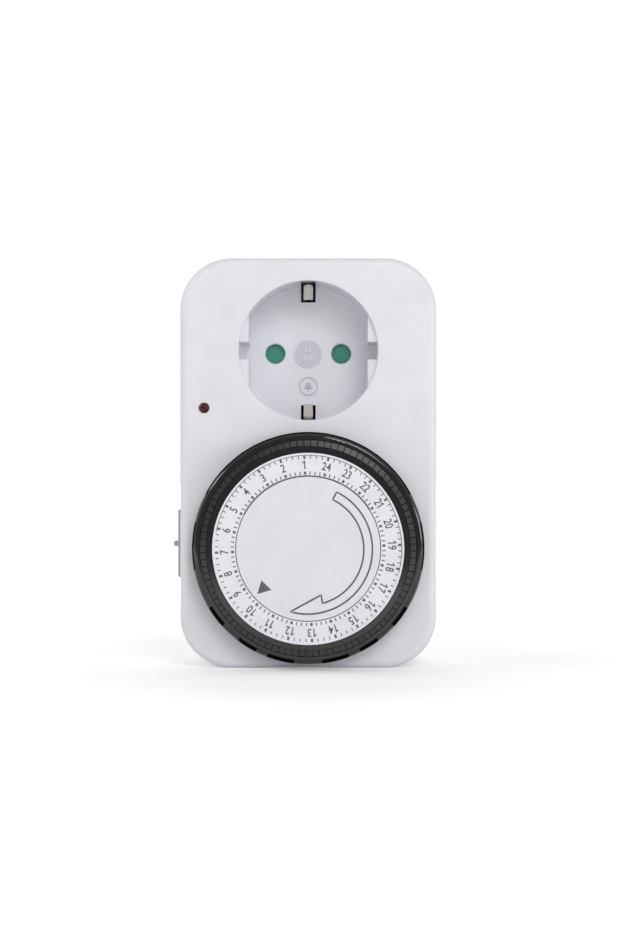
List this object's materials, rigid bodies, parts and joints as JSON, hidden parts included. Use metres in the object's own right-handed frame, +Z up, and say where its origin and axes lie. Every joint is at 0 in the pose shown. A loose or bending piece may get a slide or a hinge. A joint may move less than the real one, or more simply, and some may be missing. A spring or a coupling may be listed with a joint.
{
  "type": "mechanical plug-in timer",
  "caption": "Plug-in day timer: earthed socket with shutters above a turning dial ringed with press-down tappets, side mode switch, lamp, and plug pins behind.",
  "frame": {"origin": "centre of the flat bottom end of the case, midway between its front and back faces", "axes": "+Z up the case, +X to the viewer's right, -Y is the front with socket and dial"},
  "size_m": [0.0741, 0.0812, 0.1147],
  "materials": {
    "case_white": "fine matt moulded ABS",
    "dial_white": "satin printed plastic",
    "ring_smoke": "glossy smoked",
    "tappet_black": "satin black",
    "contact_nickel": "nickel plated",
    "brass": "plain",
    "steel": "zinc plated",
    "shutter_green": "semi gloss",
    "gear_acetal": "moulded acetal",
    "black_plastic": "moulded",
    "lever_plastic": "moulded",
    "lamp_red": "clear tinted",
    "board": "phenolic paper",
    "resistor": "lacquered",
    "switch_white": "satin"
  },
  "bodies": {
    "case": {"front_cover": "case_white", "rear_cover": "case_white", "housing_screws": "steel", "live_pin": "contact_nickel", "neutral_pin": "contact_nickel", "live_socket_contact": "brass", "neutral_socket_contact": "brass", "earth_strip_upper": "contact_nickel", "earth_strip_lower": "contact_nickel", "earth_link": "brass", "shutter_spring": "steel", "shutter_cover": "lever_plastic", "centre_disc": "dial_white", "dial_spindle": "steel", "idler_axle": "steel", "movement_plate": "steel", "motor_lid": "steel", "motor_can": "steel", "movement_screws": "steel", "follower_pin": "steel", "microswitch_body": "black_plastic", "live_busbar": "brass", "live_feed_strip": "brass", "indicator_lamp": "lamp_red", "circuit_board": "board", "lamp_resistor": "resistor", "side_switch_plate": "switch_white"},
    "dial": {"number_dial": "dial_white", "tappet_carrier": "ring_smoke", "dial_gear": "gear_acetal"},
    "idler": {"idler_gear": "gear_acetal"},
    "pinion": {"motor_pinion": "gear_acetal"},
    "follower": {"switch_follower": "lever_plastic"},
    "switch_leaf": {"microswitch_lever": "steel"},
    "slider": {"mode_slider": "switch_white"},
    "shutter": {"safety_shutter": "shutter_green"},
    "tappets_01": {"tappets_hour_01": "tappet_black"},
    "tappets_02": {"tappets_hour_02": "tappet_black"},
    "tappets_03": {"tappets_hour_03": "tappet_black"},
    "tappets_04": {"tappets_hour_04": "tappet_black"},
    "tappets_05": {"tappets_hour_05": "tappet_black"},
    "tappets_06": {"tappets_hour_06": "tappet_black"},
    "tappets_07": {"tappets_hour_07": "tappet_black"},
    "tappets_08": {"tappets_hour_08": "tappet_black"},
    "tappets_09": {"tappets_hour_09": "tappet_black"},
    "tappets_10": {"tappets_hour_10": "tappet_black"},
    "tappets_11": {"tappets_hour_11": "tappet_black"},
    "tappets_12": {"tappets_hour_12": "tappet_black"},
    "tappets_13": {"tappets_hour_13": "tappet_black"},
    "tappets_14": {"tappets_hour_14": "tappet_black"},
    "tappets_15": {"tappets_hour_15": "tappet_black"},
    "tappets_16": {"tappets_hour_16": "tappet_black"},
    "tappets_17": {"tappets_hour_17": "tappet_black"},
    "tappets_18": {"tappets_hour_18": "tappet_black"},
    "tappets_19": {"tappets_hour_19": "tappet_black"},
    "tappets_20": {"tappets_hour_20": "tappet_black"},
    "tappets_21": {"tappets_hour_21": "tappet_black"},
    "tappets_22": {"tappets_hour_22": "tappet_black"},
    "tappets_23": {"tappets_hour_23": "tappet_black"},
    "tappets_24": {"tappets_hour_24": "tappet_black"}
  },
  "joints": [
    {"name": "dial_turn", "type": "hinge", "parent": "case", "child": "dial", "pos_m": [0, 0, 0.0338], "axis": [0, 1, 0], "continuous": true},
    {"name": "idler_turn", "type": "hinge", "parent": "case", "child": "idler", "pos_m": [0.02205, 0, 0.05233], "axis": [0, 1, 0], "continuous": true},
    {"name": "motor_turn", "type": "hinge", "parent": "case", "child": "pinion", "pos_m": [0.009, 0, 0.05841], "axis": [0, 1, 0], "continuous": true},
    {"name": "follower_rock", "type": "hinge", "parent": "case", "child": "follower", "pos_m": [-0.0214, -0.0116, 0.02368], "axis": [1, 0, 0], "range_deg": [0, 10.5]},
    {"name": "leaf_rock", "type": "hinge", "parent": "case", "child": "switch_leaf", "pos_m": [-0.0214, -0.0089, 0.02468], "axis": [1, 0, 0], "range_deg": [0, 10.5]},
    {"name": "mode_slide", "type": "slide", "parent": "case", "child": "slider", "axis": [0, 0, 1], "range_m": [0, 0.002]},
    {"name": "shutter_slide", "type": "slide", "parent": "case", "child": "shutter", "axis": [1, 0, 0], "range_m": [0, 0.0062], "stiffness_N_per_m": 50, "springref_m": -0.001, "deforming": ["shutter_spring"]},
    {"name": "tappets_01_press", "type": "slide", "parent": "dial", "child": "tappets_01", "axis": [0, 1, 0], "range_m": [0, 0.003]},
    {"name": "tappets_02_press", "type": "slide", "parent": "dial", "child": "tappets_02", "axis": [0, 1, 0], "range_m": [0, 0.003]},
    {"name": "tappets_03_press", "type": "slide", "parent": "dial", "child": "tappets_03", "axis": [0, 1, 0], "range_m": [0, 0.003]},
    {"name": "tappets_04_press", "type": "slide", "parent": "dial", "child": "tappets_04", "axis": [0, 1, 0], "range_m": [0, 0.003]},
    {"name": "tappets_05_press", "type": "slide", "parent": "dial", "child": "tappets_05", "axis": [0, 1, 0], "range_m": [0, 0.003]},
    {"name": "tappets_06_press", "type": "slide", "parent": "dial", "child": "tappets_06", "axis": [0, 1, 0], "range_m": [0, 0.003]},
    {"name": "tappets_07_press", "type": "slide", "parent": "dial", "child": "tappets_07", "axis": [0, 1, 0], "range_m": [0, 0.003]},
    {"name": "tappets_08_press", "type": "slide", "parent": "dial", "child": "tappets_08", "axis": [0, 1, 0], "range_m": [0, 0.003]},
    {"name": "tappets_09_press", "type": "slide", "parent": "dial", "child": "tappets_09", "axis": [0, 1, 0], "range_m": [0, 0.003]},
    {"name": "tappets_10_press", "type": "slide", "parent": "dial", "child": "tappets_10", "axis": [0, 1, 0], "range_m": [0, 0.003]},
    {"name": "tappets_11_press", "type": "slide", "parent": "dial", "child": "tappets_11", "axis": [0, 1, 0], "range_m": [0, 0.003]},
    {"name": "tappets_12_press", "type": "slide", "parent": "dial", "child": "tappets_12", "axis": [0, 1, 0], "range_m": [0, 0.003]},
    {"name": "tappets_13_press", "type": "slide", "parent": "dial", "child": "tappets_13", "axis": [0, 1, 0], "range_m": [0, 0.003]},
    {"name": "tappets_14_press", "type": "slide", "parent": "dial", "child": "tappets_14", "axis": [0, 1, 0], "range_m": [0, 0.003]},
    {"name": "tappets_15_press", "type": "slide", "parent": "dial", "child": "tappets_15", "axis": [0, 1, 0], "range_m": [0, 0.003]},
    {"name": "tappets_16_press", "type": "slide", "parent": "dial", "child": "tappets_16", "axis": [0, 1, 0], "range_m": [0, 0.003]},
    {"name": "tappets_17_press", "type": "slide", "parent": "dial", "child": "tappets_17", "axis": [0, 1, 0], "range_m": [0, 0.003]},
    {"name": "tappets_18_press", "type": "slide", "parent": "dial", "child": "tappets_18", "axis": [0, 1, 0], "range_m": [0, 0.003]},
    {"name": "tappets_19_press", "type": "slide", "parent": "dial", "child": "tappets_19", "axis": [0, 1, 0], "range_m": [0, 0.003]},
    {"name": "tappets_20_press", "type": "slide", "parent": "dial", "child": "tappets_20", "axis": [0, 1, 0], "range_m": [0, 0.003]},
    {"name": "tappets_21_press", "type": "slide", "parent": "dial", "child": "tappets_21", "axis": [0, 1, 0], "range_m": [0, 0.003]},
    {"name": "tappets_22_press", "type": "slide", "parent": "dial", "child": "tappets_22", "axis": [0, 1, 0], "range_m": [0, 0.003]},
    {"name": "tappets_23_press", "type": "slide", "parent": "dial", "child": "tappets_23", "axis": [0, 1, 0], "range_m": [0, 0.003]},
    {"name": "tappets_24_press", "type": "slide", "parent": "dial", "child": "tappets_24", "axis": [0, 1, 0], "range_m": [0, 0.003]}
  ],
  "couplings": [
    {"joint": "idler_turn", "follows": "dial_turn", "ratio": -2},
    {"joint": "motor_turn", "follows": "dial_turn", "ratio": 4},
    {"joint": "follower_rock", "follows": "tappets_09_press", "rad_per_m": 61.08},
    {"joint": "leaf_rock", "follows": "tappets_09_press", "rad_per_m": 61.08}
  ]
}
